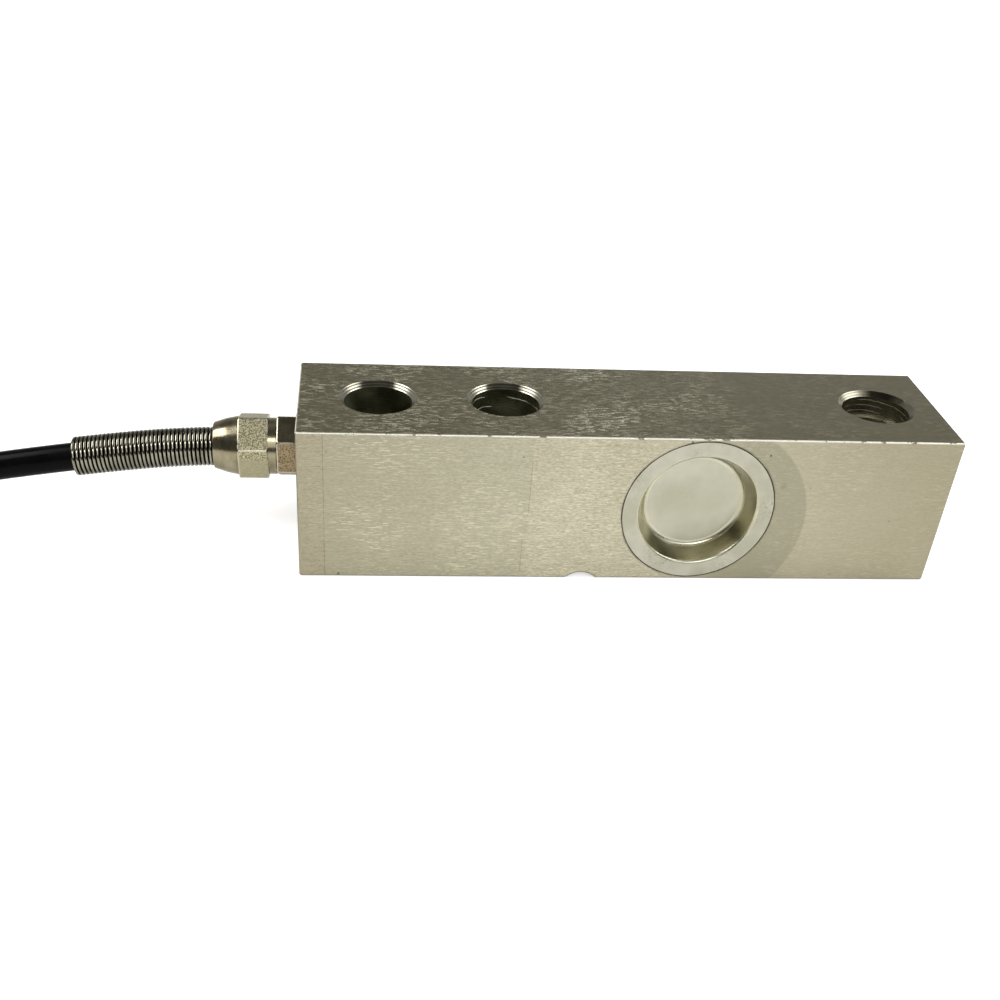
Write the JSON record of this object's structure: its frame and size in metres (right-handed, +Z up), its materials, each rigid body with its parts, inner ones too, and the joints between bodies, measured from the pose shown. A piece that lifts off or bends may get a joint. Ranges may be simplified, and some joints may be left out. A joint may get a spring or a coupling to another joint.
{
  "type": "shear beam load cell",
  "caption": "Square steel shear beam load cell with sealed gauge pockets, fixing holes, a threaded load hole and a cable gland with a bend spring on its lead.",
  "frame": {"origin": "midway between the two fixing holes, on the bottom face that bolts down", "axes": "+X along the beam to the load end, +Y to the rear face, +Z up through the fixing holes"},
  "size_m": [0.3537, 0.0522, 0.0369],
  "materials": {
    "ground_steel": "fine ground stainless steel",
    "cup_steel": "bright pressed sheet with a dull flange",
    "nickel_plate": "bright nickel plate",
    "spring_steel": "drawn stainless wire",
    "cable_jacket": "satin black jacket",
    "tie_nylon": "moulded nylon",
    "shrink_sleeve": "shrunk sleeve",
    "seal_rubber": "moulded seal",
    "silicone": "soft coating",
    "gauge_foil": "film with etched foil",
    "lacquered_copper": "lacquered wire",
    "circuit_board": "board with solder mask",
    "resistor_ceramic": "chip body",
    "potting": "cast resin",
    "wire_red": "insulation",
    "wire_black": "insulation",
    "wire_green": "insulation",
    "wire_white": "insulation",
    "shield_braid": "tinned copper braid, twisted"
  },
  "bodies": {
    "root": {"beam_body": "ground_steel", "front_sealing_cup": "cup_steel", "rear_sealing_cup": "cup_steel", "front_strain_gauge": "gauge_foil", "rear_strain_gauge": "gauge_foil", "front_gauge_wires": "lacquered_copper", "rear_gauge_wires": "lacquered_copper", "front_gauge_coating": "silicone", "rear_gauge_coating": "silicone", "front_terminal_strip": "circuit_board", "rear_terminal_board": "circuit_board", "trim_resistors": "resistor_ceramic", "web_jumper_wires": "wire_white", "channel_sealant": "potting", "gland_body": "nickel_plate", "gland_o_ring": "seal_rubber", "gland_grommet": "seal_rubber", "gland_washer": "nickel_plate", "gland_nut": "nickel_plate", "bend_spring": "spring_steel", "cable_run": "cable_jacket", "cable_hank": "cable_jacket", "hank_tie": "tie_nylon", "lead_sleeve": "shrink_sleeve", "core_red": "wire_red", "core_black": "wire_black", "core_green": "wire_green", "core_white": "wire_white", "lead_red": "wire_red", "lead_black": "wire_black", "lead_green": "wire_green", "lead_white": "wire_white", "lead_shield": "shield_braid"}
  },
  "joints": []
}
